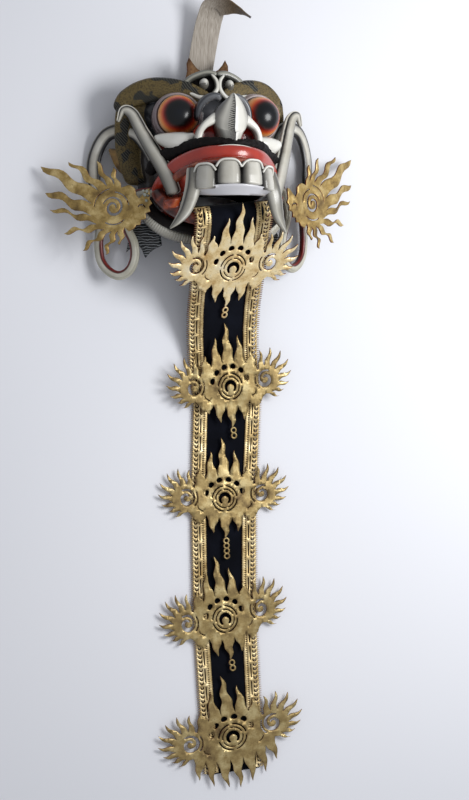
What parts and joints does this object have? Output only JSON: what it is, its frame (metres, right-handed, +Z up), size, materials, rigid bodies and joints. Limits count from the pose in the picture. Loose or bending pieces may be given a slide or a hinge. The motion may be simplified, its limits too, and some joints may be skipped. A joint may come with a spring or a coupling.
{
  "type": "barong dance mask",
  "caption": "Carved demon dance mask with bulging eyes, boar tusks, long looped ears, gilded flame wings and a long black tongue set with gilded suns.",
  "frame": {"origin": "on the floor under the middle of the whole, mask lying on its back", "axes": "+Z up off the floor, the way the face looks; +Y from the tongue's end to the crown; +X to the right of someone looking at the face"},
  "size_m": [0.4308, 1.014, 0.1727],
  "materials": {
    "painted_wood": "glossy paint",
    "tusk_paint": "satin paint",
    "ear_paint": "satin paint",
    "gilded_hide": "gilded",
    "black_hide": "matt paint",
    "raw_hide": "raw",
    "black_cloth": "plain weave"
  },
  "bodies": {
    "root": {"mask": "painted_wood", "tusk_left": "tusk_paint", "tusk_right": "tusk_paint", "fang_left": "tusk_paint", "fang_right": "tusk_paint", "ear_left": "ear_paint", "ear_right": "ear_paint", "flame_wing_left": "gilded_hide", "flame_wing_right": "gilded_hide", "crown_collar": "gilded_hide", "crest_strap": "raw_hide", "beard_leaf_left": "black_hide", "beard_leaf_right": "black_hide", "tongue_cloth": "black_cloth", "tongue_border_left": "gilded_hide", "tongue_border_right": "gilded_hide", "tongue_sun_1": "gilded_hide", "tongue_sun_2": "gilded_hide", "tongue_sun_3": "gilded_hide", "tongue_sun_4": "gilded_hide", "tongue_sun_5": "gilded_hide"}
  },
  "joints": []
}
